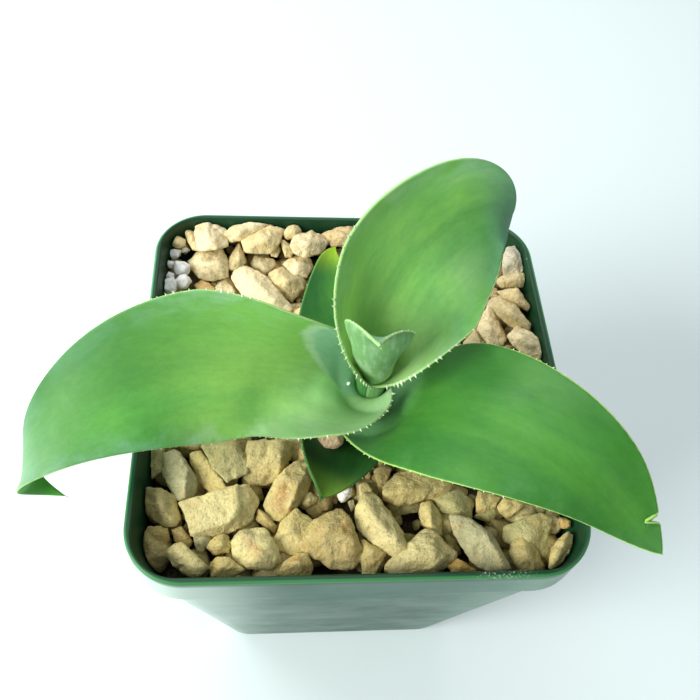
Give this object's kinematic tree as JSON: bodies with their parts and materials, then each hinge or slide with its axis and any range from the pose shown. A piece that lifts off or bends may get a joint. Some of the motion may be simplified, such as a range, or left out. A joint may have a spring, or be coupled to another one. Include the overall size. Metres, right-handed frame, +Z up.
{
  "type": "potted octopus agave",
  "caption": "Young octopus agave rosette of broad toothed leaves in a tapered square nursery pot with a gravel top dressing",
  "frame": {"origin": "centre of the underside of the pot, on the surface it stands on", "axes": "+X to the right of the pictured front, +Y to the back, +Z up"},
  "size_m": [0.1164, 0.0905, 0.1391],
  "materials": {
    "pot": "dark green moulded nursery plastic, satin, slightly dusty",
    "soil": "dark potting soil, matt and crumbly",
    "gravel": "broken tan pumice gravel, dry and matt, with speckles and orange stains",
    "perlite": "white perlite grains, matt",
    "stem": "pale green fleshy stem",
    "leaf": "light green fleshy leaf with a pale waxy bloom, cream margin and fine teeth",
    "leaf_deep": "deeper green fleshy leaf with a paler midrib streak and cream toothed margin",
    "leaf_dark": "dark green shaded leaf with a yellow-brown tip",
    "leaf_young": "pale glaucous green young leaf, still folded like a spout"
  },
  "bodies": {
    "root": {"pot": "pot", "soil": "soil", "gravel": "gravel", "perlite": "perlite", "stem": "stem", "leaf_left": "leaf", "leaf_back": "leaf", "leaf_right": "leaf_deep", "leaf_small_back": "leaf_dark", "leaf_small_front": "leaf_dark", "leaf_centre": "leaf_young"}
  },
  "joints": []
}
